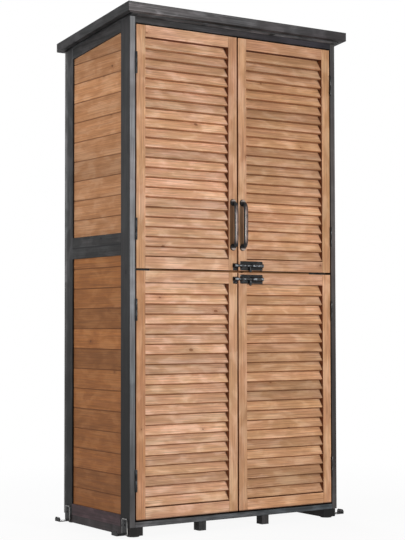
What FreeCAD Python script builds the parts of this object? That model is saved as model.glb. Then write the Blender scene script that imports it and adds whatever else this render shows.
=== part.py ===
import FreeCAD, Part
import math
import os

# Garden storage cabinet: a stained timber carcase with boarded sides and a
# single-pitch roof, closed by two pairs of louvred doors, one above the other.
# Millimetres, +Z up. The doors face -Y. The origin is on the ground, below the
# middle of the roof. A fixed letter pair such as x0, x1 is a low and a high edge.

os.makedirs("parts", exist_ok=True)

# Overall sizes
total_height = 1600.0
body_width = 790.0
body_depth = 415.0

# Ground contact: skids on eight-sided rubber feet, and short middle feet on rubber pads
corner_foot_height = 3.0
corner_foot_width = 36.0
corner_foot_inset = 2.0
skid_height = 26.0
skid_width = 45.0
skid_inset = 4.0
pad_thickness = 3.0
middle_foot_width = 27.0
middle_foot_depth = 30.0
middle_foot_setback = 5.0
left_middle_foot_x = -131.5
right_middle_foot_x = 107.5

# Roof
roof_side_overhang = 24.0
roof_front_overhang = 33.0
roof_rear_overhang = 13.0
roof_fall = 52.0
felt_thickness = 2.0
deck_thickness = 9.0
deck_board_count = 5
deck_board_gap = 2.0
bearer_height = 21.0
inner_bearer_x = 140.0
fascia_height = 26.0
fascia_thickness = 18.0
soffit_thickness = 6.0

# Side and back frames, with boards held in grooves
frame_thickness = 19.0
post_width = 54.0
rail_height = 34.0
side_seam_height = 877.0
back_stile_width = 45.0
groove_depth = 6.0
groove_engagement = 5.5
groove_clearance = 0.15

# Shiplap boards
board_thickness = 9.0
board_setback = 6.0
board_cover = 63.0
upper_first_board = 55.0
lower_first_board = 54.0
board_bevel = 1.5
lap_length = 5.0
lap_clearance = 0.2

# Front rails, door stops and floor
front_rail_depth = 45.0
top_rail_height = 18.5
bottom_rail_height = 16.5
stop_batten_width = 69.0
stop_batten_depth = 19.0
top_stop_height = 15.0
door_stop_gap = 0.5
floor_thickness = 9.0
floor_board_count = 9
floor_board_gap = 1.5

# Shelves
shelf_thickness = 12.0
shelf_board_count = 4
shelf_board_gap = 6.0
shelf_clearance = 0.4
cleat_height = 20.0
cleat_thickness = 19.0
upper_shelf_height = 1165.0
lower_shelf_height = 425.0

# Doors
door_thickness = 30.0
door_edge_gap = 4.0
door_meeting_gap = 5.0
door_split_height = 799.5
door_split_gap = 7.0
hinge_side_gap = 4.0
door_stile_width = 32.0
door_rail_height = 35.0
tenon_length = 12.0
tenon_thickness = 12.0
tenon_shoulder = 7.0
tenon_clearance = 0.1

# Louvre slats, raked so that the lower edge stands forward
slat_count = 22
slat_width = 38.0
slat_thickness = 7.0
slat_rake = math.radians(31.0)
slat_setback = 3.5
slat_end_gap = 0.3
housing_depth = 5.0
housing_clearance = 0.15

# Butt hinges, with the barrel proud of the front: the post leaf's knuckle
# carries the pin, and the door leaf's knuckle turns on it
hinge_height = 66.0
hinge_end_distance = 118.0
leaf_thickness = 1.5
leaf_width = 22.0
barrel_radius = 3.3
barrel_clearance = 0.4
knuckle_gap = 0.4
knuckle_cap = 3.0
pin_radius = 1.6
pin_clearance = 0.05
pin_end_clearance = 0.5

# Pull handles on the upper doors
handle_length = 163.0
handle_height = 143.5
handle_projection = 19.0
handle_bar_length = 114.0
handle_bar_width = 14.0
handle_bar_thickness = 6.0
handle_bend_radius = 8.0
handle_foot_radius = 11.0
handle_foot_height = 7.0

# Barrel bolts on the right-hand doors, keepers on the left-hand doors
upper_bolt_offset = 15.6
lower_bolt_offset = 19.6
bolt_radius = 4.0
bolt_length = 86.0
bolt_tip_gap = 1.0
bolt_clearance = 0.3
bolt_axis_standoff = 6.2
bolt_plate_length = 87.0
bolt_plate_height = 29.0
bolt_plate_edge = 6.0
plate_thickness = 1.5
strap_thickness = 1.5
strap_chamfer = 2.0
front_strap_length = 7.0
barrel_start = 41.5
barrel_length = 43.0
knob_position = 45.5
knob_radius = 3.3
knob_drop = 21.0
keeper_width = 16.0
keeper_height = 22.0
keeper_edge = 0.5
keeper_top_margin = 6.8
keeper_clearance = 0.8

# Ground brackets on the outside of the posts, with their flanges just above the ground
bracket_base_height = 7.0
bracket_width = 32.0
bracket_leg_height = 48.0
bracket_flange_length = 38.0
bracket_lip_height = 14.0
bracket_thickness = 2.5
bracket_corner = 5.0
anchor_hole_radius = 3.5
anchor_hole_offset = 24.0

# Places worked out from the sizes
vector = FreeCAD.Vector
roof_width = body_width + 2 * roof_side_overhang
roof_depth = body_depth + roof_front_overhang + roof_rear_overhang
roof_front = -roof_depth / 2
roof_rear = roof_depth / 2
front = roof_front + roof_front_overhang
rear = roof_rear - roof_rear_overhang
half_width = body_width / 2
inner_half_width = half_width - frame_thickness
back_inner = rear - frame_thickness
base = corner_foot_height + skid_height
roof_slope = roof_fall / roof_depth
roof_build_up = felt_thickness + deck_thickness + bearer_height
bottom_rail_top = base + bottom_rail_height
floor_top = bottom_rail_top + floor_thickness
stop_face = front + door_thickness + door_stop_gap
stop_rear = stop_face + stop_batten_depth
mortise_start = door_rail_height - tenon_shoulder
hinge_axis_x = -(inner_half_width - hinge_side_gap / 2)
hinge_axis_y = front - barrel_radius - barrel_clearance


def roof_top(y):
    return total_height - roof_slope * (y - roof_front)


def body_top(y):
    return roof_top(y) - roof_build_up


top_rail_bottom = body_top(front) - top_rail_height
door_top = top_rail_bottom - door_edge_gap
door_bottom = bottom_rail_top + door_edge_gap
upper_door = (door_split_height + door_split_gap / 2, door_top)
lower_door = (door_bottom, door_split_height - door_split_gap / 2)
door_hinge_edge = -(inner_half_width - hinge_side_gap)
door_meeting_edge = -door_meeting_gap / 2


# Shapes used throughout
def box(x0, x1, y0, y1, z0, z1):
    return Part.makeBox(x1 - x0, y1 - y0, z1 - z0, vector(x0, y0, z0))


def prism(points, direction):
    outline = Part.makePolygon(points + [points[0]])
    return Part.Face(outline).extrude(direction)


def rod(radius, start, direction, length):
    return Part.makeCylinder(radius, length, start, direction)


def mirrored(solids):
    return [solid.mirror(vector(0, 0, 0), vector(1, 0, 0)) for solid in solids]


def save(name, solids):
    shape = solids[0] if len(solids) == 1 else Part.makeCompound(solids)
    shape.exportStep("parts/%s.step" % name)


def roof_slab(x0, x1, y0, y1, top_drop, bottom_drop):
    # A slab between two surfaces parallel to the roof, with plumb ends
    points = [
        vector(x0, y0, roof_top(y0) - bottom_drop),
        vector(x0, y1, roof_top(y1) - bottom_drop),
        vector(x0, y1, roof_top(y1) - top_drop),
        vector(x0, y0, roof_top(y0) - top_drop),
    ]
    return prism(points, vector(x1 - x0, 0, 0))


def under_roof(shape):
    # The part of a shape that lies below the roof bearers
    reach = roof_depth
    points = [
        vector(-body_width, front - reach, -reach),
        vector(-body_width, rear + reach, -reach),
        vector(-body_width, rear + reach, body_top(rear + reach)),
        vector(-body_width, front - reach, body_top(front - reach)),
    ]
    return shape.common(prism(points, vector(2 * body_width, 0, 0)))


# Ground contact
def corner_foot(x, y):
    # An upright prism with eight equal sides
    step = math.pi / 4
    corner = corner_foot_width / 2 / math.cos(step / 2)
    angles = [(side + 0.5) * step for side in range(8)]
    points = [vector(x + corner * math.cos(a), y + corner * math.sin(a), 0) for a in angles]
    return prism(points, vector(0, 0, corner_foot_height))


def ground_parts():
    outer = -(half_width - skid_inset)
    skid_front = front + skid_inset
    skid_rear = rear - skid_inset
    skid = box(outer, outer + skid_width, skid_front, skid_rear, corner_foot_height, base)
    foot_centre = corner_foot_width / 2 + corner_foot_inset
    pads = []
    for y in (skid_front + foot_centre, skid_rear - foot_centre):
        foot = corner_foot(outer + skid_width / 2, y)
        pads += [foot] + mirrored([foot])
    feet = []
    foot_rows = (front + middle_foot_setback, rear - middle_foot_setback - middle_foot_depth)
    for x in (left_middle_foot_x, right_middle_foot_x):
        x0 = x - middle_foot_width / 2
        x1 = x + middle_foot_width / 2
        for y0 in foot_rows:
            y1 = y0 + middle_foot_depth
            feet.append(box(x0, x1, y0, y1, pad_thickness, base))
            pads.append(box(x0, x1, y0, y1, 0, pad_thickness))
    save("left_skid", [skid])
    save("right_skid", mirrored([skid]))
    save("middle_feet", feet)
    save("foot_pads", pads)


# Frame-and-board panels, drawn in a plane: u along the wall, depth inwards, z up
def left_wall(u, depth, z):
    return vector(-half_width + depth, u, z)


def back_wall(u, depth, z):
    return vector(u, rear - depth, z)


def wall_slab(place, u0, u1, bottom, top, depth0, depth1):
    # A flat prism between two depths, with edges given by bottom(u) and top(u)
    edges = [(u0, bottom(u0)), (u1, bottom(u1)), (u1, top(u1)), (u0, top(u0))]
    points = [place(u, depth0, z) for u, z in edges]
    return prism(points, place(u0, depth1, 0) - place(u0, depth0, 0))


def level(z):
    return lambda u: z


def board(place, u0, u1, z0):
    # One shiplap board, with bevelled outer edges that meet in a V
    outer_lap = (board_thickness - lap_clearance) / 2
    inner_lap = (board_thickness + lap_clearance) / 2
    z1 = z0 + board_cover
    outline = [
        (board_bevel, z0),
        (outer_lap, z0),
        (outer_lap, z0 + lap_length + lap_clearance),
        (board_thickness, z0 + lap_length + lap_clearance),
        (board_thickness, z1 + lap_length),
        (inner_lap, z1 + lap_length),
        (inner_lap, z1),
        (board_bevel, z1),
        (0, z1 - board_bevel),
        (0, z0 + board_bevel),
    ]
    points = [place(u0, board_setback + depth, z) for depth, z in outline]
    return prism(points, place(u1, 0, z0) - place(u0, 0, z0))


def panel_boards(place, u0, u1, z0, top, first_cover):
    # Boards that fill an opening and stand in the grooves around it
    u0 -= groove_engagement
    u1 += groove_engagement
    lowest = z0 - groove_engagement

    def highest(u):
        return top(u) + groove_engagement

    filling = wall_slab(place, u0, u1, level(lowest), highest, 0, frame_thickness)
    boards = []
    z = z0 + first_cover - board_cover
    while z < max(highest(u0), highest(u1)):
        boards += board(place, u0, u1, z).common(filling).Solids
        z += board_cover
    return boards


def groove(place, u0, u1, z0, top):
    # The room that boards and stub tenons take in the frame
    depth0 = board_setback - groove_clearance
    depth1 = board_setback + board_thickness + groove_clearance

    def deepest(u):
        return top(u) + groove_depth

    ends = (u0 - groove_depth, u1 + groove_depth)
    return wall_slab(place, *ends, level(z0 - groove_depth), deepest, depth0, depth1)


def upright_groove(place, u0, u1):
    # A groove over the whole height, for stub tenons and boards alike
    return groove(place, u0, u1, 0, level(total_height))


def rail(place, u0, u1, bottom, top):
    # A rail between two uprights, with stub tenons that stand in their grooves
    depth0 = board_setback
    depth1 = board_setback + board_thickness
    body = wall_slab(place, u0, u1, bottom, top, 0, frame_thickness)
    tongue_ends = (u0 - groove_engagement, u1 + groove_engagement)
    tongue = wall_slab(place, *tongue_ends, bottom, top, depth0, depth1)
    return body.fuse(tongue).removeSplitter()


def framed_wall(place, u0, u1, highest):
    # Four rails and two fields of boards between uprights that end at u0 and u1
    def top_rail_low(u):
        return highest(u) - rail_height

    rail_levels = [
        (level(base), level(base + rail_height)),
        (level(side_seam_height - rail_height), level(side_seam_height)),
        (level(side_seam_height), level(side_seam_height + rail_height)),
        (top_rail_low, highest),
    ]
    rails = [rail(place, u0, u1, low, high) for low, high in rail_levels]
    lower_field = (base + rail_height, level(side_seam_height - rail_height))
    upper_field = (side_seam_height + rail_height, top_rail_low)
    grooves = [groove(place, u0, u1, z0, top) for z0, top in (lower_field, upper_field)]
    rails = [one.cut(grooves[0]).cut(grooves[1]) for one in rails]
    lower_boards = panel_boards(place, u0, u1, lower_field[0], lower_field[1], lower_first_board)
    upper_boards = panel_boards(place, u0, u1, upper_field[0], upper_field[1], upper_first_board)
    return rails, lower_boards, upper_boards


def side_parts():
    u0 = front + post_width
    u1 = rear - post_width
    slot = upright_groove(left_wall, u0, u1)
    front_post = under_roof(box(-half_width, -inner_half_width, front, u0, base, total_height)).cut(slot)
    rear_post = under_roof(box(-half_width, -inner_half_width, u1, rear, base, total_height)).cut(slot)
    rails, lower_boards, upper_boards = framed_wall(left_wall, u0, u1, body_top)
    pieces = {
        "front_post": [front_post],
        "rear_post": [rear_post],
        "side_rails": rails,
        "lower_side_boards": lower_boards,
        "upper_side_boards": upper_boards,
    }
    for name, solids in pieces.items():
        save("left_" + name, solids)
        save("right_" + name, mirrored(solids))


def back_parts():
    u1 = inner_half_width - back_stile_width
    u0 = -u1
    lowest_top = level(body_top(rear))
    slot = upright_groove(back_wall, u0, u1)
    stile = under_roof(box(-inner_half_width, u0, back_inner, rear, base, total_height)).cut(slot)
    rails, lower_boards, upper_boards = framed_wall(back_wall, u0, u1, lowest_top)
    save("back_stiles", [stile] + mirrored([stile]))
    save("back_rails", rails)
    save("back_lower_boards", lower_boards)
    save("back_upper_boards", upper_boards)


# Front rails, door stops and floor
def front_rail_parts():
    rail_rear = front + front_rail_depth
    bearer_front = back_inner - front_rail_depth
    w = inner_half_width
    top_rail = under_roof(box(-w, w, front, rail_rear, top_rail_bottom, total_height))
    save("front_top_rail", [top_rail])
    save("front_bottom_rail", [box(-w, w, front, rail_rear, base, bottom_rail_top)])
    save("rear_floor_bearer", [box(-w, w, bearer_front, back_inner, base, bottom_rail_top)])


def door_stop_parts():
    # Uprights behind the hinge stiles, and a batten under the top rail
    half = inner_half_width - stop_batten_width
    batten = box(-inner_half_width, -half, stop_face, stop_rear, floor_top, top_rail_bottom)
    top_stop_bottom = top_rail_bottom - top_stop_height
    top_stop = box(-half, half, stop_face, front + front_rail_depth, top_stop_bottom, top_rail_bottom)
    save("door_stops", [batten] + mirrored([batten]) + [top_stop])


def floor_parts():
    pitch = (2 * inner_half_width + floor_board_gap) / floor_board_count
    boards = []
    for index in range(floor_board_count):
        x0 = -inner_half_width + index * pitch
        x1 = x0 + pitch - floor_board_gap
        boards.append(box(x0, x1, stop_face, back_inner, bottom_rail_top, floor_top))
    save("floor_boards", boards)


# Shelves: boards on cleats, notched round the door stops
def shelf_boards(top):
    x1 = inner_half_width - shelf_clearance
    y0 = stop_face
    pitch = (back_inner - shelf_clearance - y0 + shelf_board_gap) / shelf_board_count
    notch_x = -(inner_half_width - stop_batten_width - shelf_clearance)
    notch = box(-inner_half_width, notch_x, y0, stop_rear + shelf_clearance, 0, total_height)
    notches = [notch] + mirrored([notch])
    boards = []
    for index in range(shelf_board_count):
        start = y0 + index * pitch
        plank = box(-x1, x1, start, start + pitch - shelf_board_gap, top - shelf_thickness, top)
        for cut in notches:
            plank = plank.cut(cut)
        boards.append(plank)
    return boards


def shelf_parts():
    shelf_tops = {
        "upper_shelf": upper_shelf_height,
        "middle_shelf": door_split_height + shelf_thickness / 2,
        "lower_shelf": lower_shelf_height,
    }
    x0 = -inner_half_width
    x1 = x0 + cleat_thickness
    cleats = []
    for name, top in shelf_tops.items():
        save(name, shelf_boards(top))
        z1 = top - shelf_thickness
        cleat = box(x0, x1, stop_rear, back_inner, z1 - cleat_height, z1)
        cleats += [cleat] + mirrored([cleat])
    save("shelf_cleats", cleats)


# Roof
def plan_prism(points):
    return prism([vector(x, y, 0) for x, y in points], vector(0, 0, total_height))


def roof_parts():
    half = roof_width / 2
    inner = half - fascia_thickness
    y0 = roof_front + fascia_thickness
    y1 = roof_rear - fascia_thickness
    slab = roof_slab(-half, half, roof_front, roof_rear, felt_thickness, felt_thickness + fascia_height)
    front_plan = plan_prism([(-half, roof_front), (half, roof_front), (inner, y0), (-inner, y0)])
    rear_plan = plan_prism([(-half, roof_rear), (-inner, y1), (inner, y1), (half, roof_rear)])
    side_plan = plan_prism([(-half, roof_front), (-inner, y0), (-inner, y1), (-half, roof_rear)])
    side_fascia = slab.common(side_plan)
    save("front_fascia", [slab.common(front_plan)])
    save("rear_fascia", [slab.common(rear_plan)])
    save("side_fascias", [side_fascia] + mirrored([side_fascia]))

    deck_low = felt_thickness + deck_thickness
    pitch = (y1 - y0 + deck_board_gap) / deck_board_count
    deck = []
    for index in range(deck_board_count):
        start = y0 + index * pitch
        end = start + pitch - deck_board_gap
        deck.append(roof_slab(-inner, inner, start, end, felt_thickness, deck_low))
    save("roof_deck_boards", deck)

    bearers = []
    for x0 in (-half_width, -inner_bearer_x):
        bearers.append(roof_slab(x0, x0 + frame_thickness, y0, y1, deck_low, roof_build_up))
    save("roof_bearers", bearers + mirrored(bearers))

    # Boards between the bearers that close the eaves at the front
    soffit_high = roof_build_up - soffit_thickness
    side_bay = (-half_width + frame_thickness, -inner_bearer_x)
    middle_bay = (side_bay[1] + frame_thickness, inner_bearer_x - frame_thickness)
    side_board, middle_board = [
        roof_slab(x0, x1, y0, front, soffit_high, roof_build_up) for x0, x1 in (side_bay, middle_bay)]
    save("front_soffit", [side_board, middle_board] + mirrored([side_board]))
    save("roof_felt", [roof_slab(-half, half, roof_front, roof_rear, 0, felt_thickness)])


# Louvred doors, drawn for the left-hand side and mirrored for the right
def slat_outline(grow):
    # Corners of a slat's section as (y, z), measured from its lower front corner
    along = (math.sin(slat_rake), math.cos(slat_rake))
    across = (math.cos(slat_rake), -math.sin(slat_rake))
    low = -grow
    high = slat_width + grow
    back = slat_thickness + grow
    corners = [(low, low), (high, low), (high, back), (low, back)]
    return [(a * along[0] + b * across[0], a * along[1] + b * across[1]) for a, b in corners]


def slat_rise():
    # How far a slat reaches below and above its lower front corner
    below = slat_thickness * math.sin(slat_rake)
    above = slat_width * math.cos(slat_rake)
    return below, above


def slat_starts(z0, z1):
    # Heights of the lower front corners of the slats in a door
    below, above = slat_rise()
    lowest = z0 + door_rail_height + below + slat_end_gap
    highest = z1 - door_rail_height - above - slat_end_gap
    step = (highest - lowest) / (slat_count - 1)
    return [lowest + index * step for index in range(slat_count)]


def slat_prism(x0, x1, z, grow):
    y = front + slat_setback
    points = [vector(x0, y + dy, z + dz) for dy, dz in slat_outline(grow)]
    return prism(points, vector(x1 - x0, 0, 0))


def door_frame(z0, z1):
    # Stiles with raked housings for the slats, and tenoned rails
    inner0 = door_hinge_edge + door_stile_width
    inner1 = door_meeting_edge - door_stile_width
    y0 = front
    y1 = front + door_thickness
    tenon_y0 = y0 + (door_thickness - tenon_thickness) / 2
    tenon_y1 = tenon_y0 + tenon_thickness
    stiles = [
        box(door_hinge_edge, inner0, y0, y1, z0, z1),
        box(inner1, door_meeting_edge, y0, y1, z0, z1),
    ]
    rails = []
    cuts = []
    c = tenon_clearance
    for low in (z0, z1 - door_rail_height):
        t0 = low + tenon_shoulder
        t1 = low + mortise_start
        body = box(inner0, inner1, y0, y1, low, low + door_rail_height)
        tenon = box(inner0 - tenon_length, inner1 + tenon_length, tenon_y0, tenon_y1, t0, t1)
        rails.append(body.fuse(tenon).removeSplitter())
        cuts.append(box(
            inner0 - tenon_length - c, inner1 + tenon_length + c,
            tenon_y0 - c, tenon_y1 + c, t0 - c, t1 + c))
    for z in slat_starts(z0, z1):
        cuts.append(slat_prism(inner0 - housing_depth, inner1 + housing_depth, z, housing_clearance))
    stiles = [stile.cut(cuts) for stile in stiles]
    return stiles, rails


def door_slats(z0, z1):
    reach = housing_depth - housing_clearance
    x0 = door_hinge_edge + door_stile_width - reach
    x1 = door_meeting_edge - door_stile_width + reach
    return [slat_prism(x0, x1, z, 0) for z in slat_starts(z0, z1)]


# Hinges
def hinge_centres(door):
    return [door[0] + hinge_end_distance, door[1] - hinge_end_distance]


def hinge_rod(radius, z0, z1):
    return rod(radius, vector(hinge_axis_x, hinge_axis_y, z0), vector(0, 0, 1), z1 - z0)


def hinge_leaf(centre, x0, k0, k1):
    # A leaf against the wood, with a solid knuckle between two heights
    z0 = centre - hinge_height / 2
    leaf = box(x0, x0 + leaf_thickness, front, front + leaf_width, z0, z0 + hinge_height)
    neck = box(x0, x0 + leaf_thickness, hinge_axis_y, front, k0, k1)
    return leaf.fuse([neck, hinge_rod(barrel_radius, k0, k1)])


def post_leaf(centre):
    k0 = centre - hinge_height / 2
    k1 = centre - knuckle_gap / 2
    pin_top = centre + hinge_height / 2 - knuckle_cap - pin_end_clearance
    leaf = hinge_leaf(centre, -inner_half_width, k0, k1)
    return leaf.fuse(hinge_rod(pin_radius, k1, pin_top)).removeSplitter()


def door_leaf(centre):
    k0 = centre + knuckle_gap / 2
    k1 = centre + hinge_height / 2
    leaf = hinge_leaf(centre, door_hinge_edge - leaf_thickness, k0, k1)
    return leaf.cut(hinge_rod(pin_radius + pin_clearance, k0, k1 - knuckle_cap)).removeSplitter()


def post_hinge_parts():
    centres = hinge_centres(lower_door) + hinge_centres(upper_door)
    leaves = [post_leaf(centre) for centre in centres]
    save("post_hinge_leaves", leaves + mirrored(leaves))


def door_parts():
    for level_name, door in (("upper", upper_door), ("lower", lower_door)):
        stiles, rails = door_frame(*door)
        pieces = {
            "door_stiles": stiles,
            "door_rails": rails,
            "door_louvres": door_slats(*door),
            "door_hinge_leaves": [door_leaf(centre) for centre in hinge_centres(door)],
        }
        for name, solids in pieces.items():
            save("%s_left_%s" % (level_name, name), solids)
            save("%s_right_%s" % (level_name, name), mirrored(solids))


# Handles
def handle_bar(x, centre):
    # A flat bar that bends back towards the door near each end, cut level with its face
    foot = handle_length / 2 - handle_foot_radius
    half_bar = handle_bar_length / 2
    lean = math.atan2(foot - half_bar, handle_projection)
    half_turn = (math.pi / 2 - lean) / 2
    x0 = x - handle_bar_width / 2

    def bend(side, offset):
        # The end of the leg, the arc round the bend and the start of the straight bar
        radius = handle_bend_radius + offset
        reach = handle_bend_radius * math.tan(half_turn)
        middle_y = front - handle_projection + handle_bend_radius
        middle_z = half_bar - reach
        points = []
        for turn in (2 * half_turn, half_turn, 0):
            y = middle_y - radius * math.cos(turn)
            z = middle_z + radius * math.sin(turn)
            points.append(vector(x0, y, centre + side * z))
        leg_y = front + handle_bend_radius
        leg_z = points[0].z + side * (leg_y - points[0].y) * math.tan(lean)
        return [vector(x0, leg_y, leg_z)] + points

    half = handle_bar_thickness / 2
    lines = [bend(1, half), bend(-1, half), bend(-1, -half), bend(1, -half)]
    edges = []
    for end, arc0, arc1, arc2 in lines:
        edges.append(Part.makeLine(end, arc0))
        edges.append(Part.Arc(arc0, arc1, arc2).toShape())
    edges.append(Part.makeLine(lines[0][3], lines[1][3]))
    edges.append(Part.makeLine(lines[2][3], lines[3][3]))
    edges.append(Part.makeLine(lines[0][0], lines[3][0]))
    edges.append(Part.makeLine(lines[1][0], lines[2][0]))
    outline = Part.Wire(Part.__sortEdges__(edges))
    bar = Part.Face(outline).extrude(vector(handle_bar_width, 0, 0))
    reach = handle_length
    behind = box(x - reach, x + reach, front, front + reach, centre - reach, centre + reach)
    return bar.cut(behind)


def handle(x, centre):
    foot = handle_length / 2 - handle_foot_radius
    out = vector(0, -1, 0)
    feet = []
    for side in (-1, 1):
        middle = vector(x, front, centre + side * foot)
        feet.append(rod(handle_foot_radius, middle, out, handle_foot_height))
    return handle_bar(x, centre).fuse(feet).removeSplitter()


def handle_parts():
    x = door_meeting_edge - door_stile_width / 2
    pull = [handle(x, upper_door[0] + handle_height)]
    save("left_handle", pull)
    save("right_handle", mirrored(pull))


# Barrel bolts and keepers
def bolt_rod(radius, x0, x1, z):
    return rod(radius, vector(x0, front - bolt_axis_standoff, z), vector(1, 0, 0), x1 - x0)


def strap(x0, x1, z, clearance):
    # A strap that arches over the bolt, with chamfered shoulders
    room = bolt_radius + clearance
    outer = room + strap_thickness
    top = front - bolt_axis_standoff - outer
    shoulder = top + strap_chamfer
    outline = [
        (front, -outer),
        (shoulder, -outer),
        (top, -outer + strap_chamfer),
        (top, outer - strap_chamfer),
        (shoulder, outer),
        (front, outer),
    ]
    arch = prism([vector(x0, y, z + dz) for y, dz in outline], vector(x1 - x0, 0, 0))
    return arch, box(x0, x1, top + strap_thickness, front - plate_thickness, z - room, z + room)


def strapped_plate(plate, straps):
    shape = plate.fuse([arch for arch, opening in straps])
    return shape.cut([opening for arch, opening in straps]).removeSplitter()


def bolt_plate(z):
    x0 = -door_meeting_edge + bolt_plate_edge
    x1 = x0 + bolt_plate_length
    half = bolt_plate_height / 2
    plate = box(x0, x1, front - plate_thickness, front, z - half, z + half)
    barrel = x0 + barrel_start
    straps = [
        strap(x0, x0 + front_strap_length, z, bolt_clearance),
        strap(barrel, barrel + barrel_length, z, bolt_clearance),
    ]
    return strapped_plate(plate, straps)


def sliding_bolt(z):
    x0 = door_meeting_edge + bolt_tip_gap
    shaft = bolt_rod(bolt_radius, x0, x0 + bolt_length, z)
    knob_top = vector(x0 + knob_position, front - bolt_axis_standoff, z)
    knob = rod(knob_radius, knob_top, vector(0, 0, -1), knob_drop)
    return shaft.fuse(knob).removeSplitter()


def keeper(z):
    x1 = door_meeting_edge - keeper_edge
    x0 = x1 - keeper_width
    z1 = z + keeper_top_margin
    plate = box(x0, x1, front - plate_thickness, front, z1 - keeper_height, z1)
    return strapped_plate(plate, [strap(x0, x1, z, keeper_clearance)])


def latch_parts():
    heights = {
        "upper": upper_door[0] + upper_bolt_offset,
        "lower": lower_door[1] - lower_bolt_offset,
    }
    for name, z in heights.items():
        save(name + "_bolt_plate", [bolt_plate(z)])
        save(name + "_bolt", [sliding_bolt(z)])
        save(name + "_keeper", [keeper(z)])


# Ground brackets
def ground_bracket(y):
    # A leg against the post, and a flange that stands out and ends in an upturned lip
    half = bracket_width / 2
    t = bracket_thickness
    x0 = -half_width
    x1 = x0 - bracket_flange_length
    z0 = bracket_base_height

    def upright(x, height):
        # A plate with its thickness along x and its upper corners cut off
        z1 = z0 + height
        low = z1 - bracket_corner
        shoulder = half - bracket_corner
        outline = [(-half, z0), (half, z0), (half, low), (shoulder, z1), (-shoulder, z1), (-half, low)]
        return prism([vector(x, y + dy, z) for dy, z in outline], vector(t, 0, 0))

    leg = upright(x0 - t, bracket_leg_height)
    lip = upright(x1, bracket_lip_height)
    flange = box(x1, x0, y - half, y + half, z0, z0 + t)
    hole = rod(anchor_hole_radius, vector(x0 - anchor_hole_offset, y, z0), vector(0, 0, 1), t)
    return leg.fuse([flange, lip]).cut(hole).removeSplitter()


def bracket_parts():
    brackets = [ground_bracket(y) for y in (front + post_width / 2, rear - post_width / 2)]
    save("ground_brackets", brackets + mirrored(brackets))


ground_parts()
side_parts()
back_parts()
front_rail_parts()
door_stop_parts()
floor_parts()
shelf_parts()
roof_parts()
door_parts()
post_hinge_parts()
handle_parts()
latch_parts()
bracket_parts()
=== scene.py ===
import math

import bmesh
import bpy
from mathutils import Matrix, Vector


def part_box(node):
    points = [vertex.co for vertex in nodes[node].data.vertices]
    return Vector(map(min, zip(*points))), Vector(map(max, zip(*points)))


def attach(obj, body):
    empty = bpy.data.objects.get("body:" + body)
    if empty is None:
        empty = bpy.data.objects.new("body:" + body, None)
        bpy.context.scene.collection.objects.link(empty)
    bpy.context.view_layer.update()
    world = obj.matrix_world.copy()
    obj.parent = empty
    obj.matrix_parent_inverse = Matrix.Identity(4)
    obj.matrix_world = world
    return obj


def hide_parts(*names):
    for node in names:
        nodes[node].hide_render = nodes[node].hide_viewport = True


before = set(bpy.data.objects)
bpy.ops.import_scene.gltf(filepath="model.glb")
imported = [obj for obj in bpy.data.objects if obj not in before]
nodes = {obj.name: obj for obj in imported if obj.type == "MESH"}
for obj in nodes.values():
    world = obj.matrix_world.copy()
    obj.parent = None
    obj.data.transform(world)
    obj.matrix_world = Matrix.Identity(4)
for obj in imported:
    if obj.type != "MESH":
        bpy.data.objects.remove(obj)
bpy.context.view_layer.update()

MM = 0.001
X = (1.0, 0.0, 0.0)
Y = (0.0, 1.0, 0.0)
Z = (0.0, 0.0, 1.0)
LEFTWARD = (-1.0, 0.0, 0.0)
FORWARD = (0.0, -1.0, 0.0)
DOWNWARD = (0.0, 0.0, -1.0)

# Sizes and places of the solids, which the materials and the small pieces follow
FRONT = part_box("front_bottom_rail")[0].y
POST_FACE = 395.0 * MM
SIDE_SEAM = 877.0 * MM
ROOF_SLOPE = 52.0 / 461.0
BOARD_COVER = 63.0 * MM
UPPER_BOARDS = (Z, 903.0 * MM, BOARD_COVER)
LOWER_BOARDS = (Z, 54.0 * MM, BOARD_COVER)
DOOR_MIDDLE = 187.25 * MM
SLAT_THICKNESS = 7.0 * MM
SLAT_SETBACK = 3.5 * MM
SLAT_RAKE = math.radians(31.0)
SLAT_WIDTH_WAY = (0.0, math.sin(SLAT_RAKE), math.cos(SLAT_RAKE))
SLAT_THROUGH = (0.0, math.cos(SLAT_RAKE), -math.sin(SLAT_RAKE))
SLAT_LOWER_EDGE = (0.0, -math.sin(SLAT_RAKE), -math.cos(SLAT_RAKE))
PLATE_THICKNESS = 1.5 * MM
BOLT_AXIS = 6.2 * MM
BRACKET_THICKNESS = 2.5 * MM
BRACKET_MIDDLE = 10.0 * MM
BRACKET_SPREAD = 180.5 * MM

# A tint that changes nothing, and the heights between which the posts' tone changes
UNCHANGED = (1.0, 1.0, 1.0)
TONE_HEIGHTS = (0.35, 0.98)


def middle(node):
    """The middle of a node's box."""
    low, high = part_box(node)
    return [(a + b) / 2 for a, b in zip(low, high)]


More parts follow.
